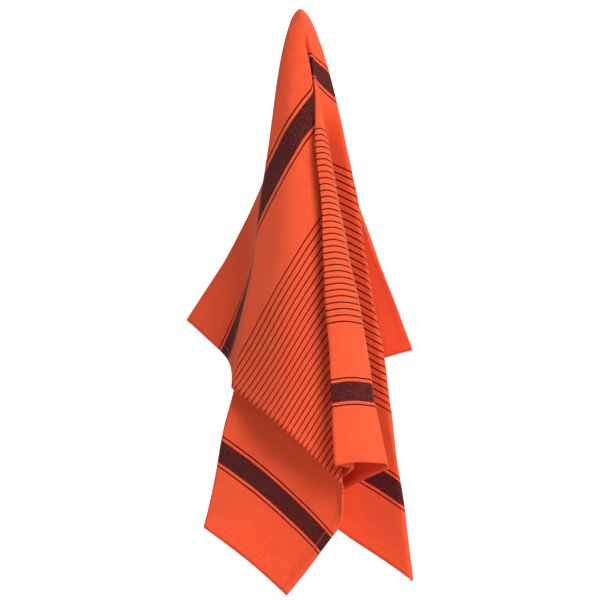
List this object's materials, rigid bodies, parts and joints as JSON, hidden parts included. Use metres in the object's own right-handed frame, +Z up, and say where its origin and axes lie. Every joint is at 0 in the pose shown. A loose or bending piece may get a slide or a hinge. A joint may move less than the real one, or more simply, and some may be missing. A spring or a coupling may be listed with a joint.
{
  "type": "tea towel",
  "caption": "Woven cotton tea towel with fine stripes and a dark band along each long side, hung from one point so that it falls in uneven folds.",
  "frame": {"origin": "the point of the cloth it hangs from, at the top of the drape", "axes": "+Z up, +X to the right as the towel is seen from the front, +Y away from the front"},
  "size_m": [0.2582, 0.2531, 0.643],
  "materials": {
    "towel_cloth": "woven cotton, matt"
  },
  "bodies": {
    "root": {"towel_cloth": "towel_cloth"}
  },
  "joints": []
}
